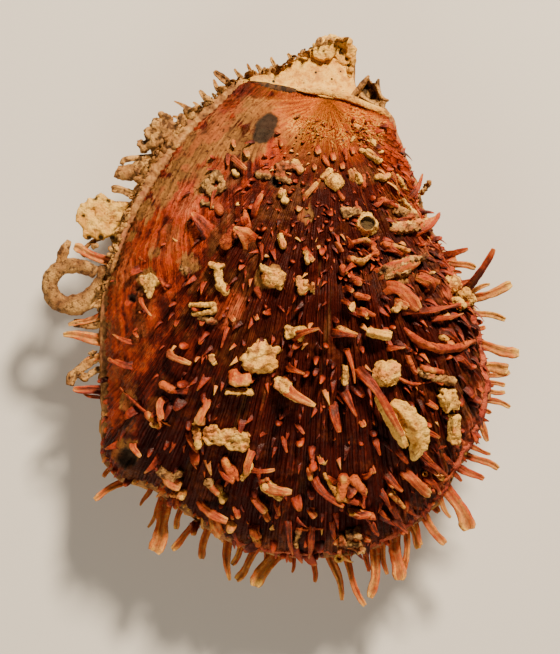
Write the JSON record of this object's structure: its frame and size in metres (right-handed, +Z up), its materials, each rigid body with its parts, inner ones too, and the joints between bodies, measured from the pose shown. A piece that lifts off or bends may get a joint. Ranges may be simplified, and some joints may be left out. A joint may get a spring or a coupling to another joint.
{
  "type": "spiny oyster shell",
  "caption": "Closed spiny oyster shell: a red ribbed upper valve with spines over a pale cup-shaped lower valve, overgrown with barnacles and a worm tube.",
  "frame": {"origin": "centre of the flat scar underneath, where the lower valve was broken off the rock", "axes": "+Z up out of the rock towards the red upper valve, +Y towards the beak and hinge, +X towards the rim with the long pale spines, on the right in the picture"},
  "size_m": [0.0957, 0.1136, 0.0469],
  "materials": {
    "red_shell": "ribbed and matt, deep red to maroon with pale worn patches",
    "pale_shell": "chalky and layered, tan to cream",
    "cream_crust": "chalky, rough"
  },
  "bodies": {
    "root": {"upper_valve": "red_shell", "lower_valve": "pale_shell", "worm_tube": "pale_shell", "barnacle_open": "cream_crust", "barnacle_bulb": "cream_crust", "barnacle_middle": "cream_crust", "barnacle_low": "cream_crust", "barnacle_edge": "cream_crust", "barnacle_shoulder": "cream_crust", "crust_slab": "cream_crust"}
  },
  "joints": []
}
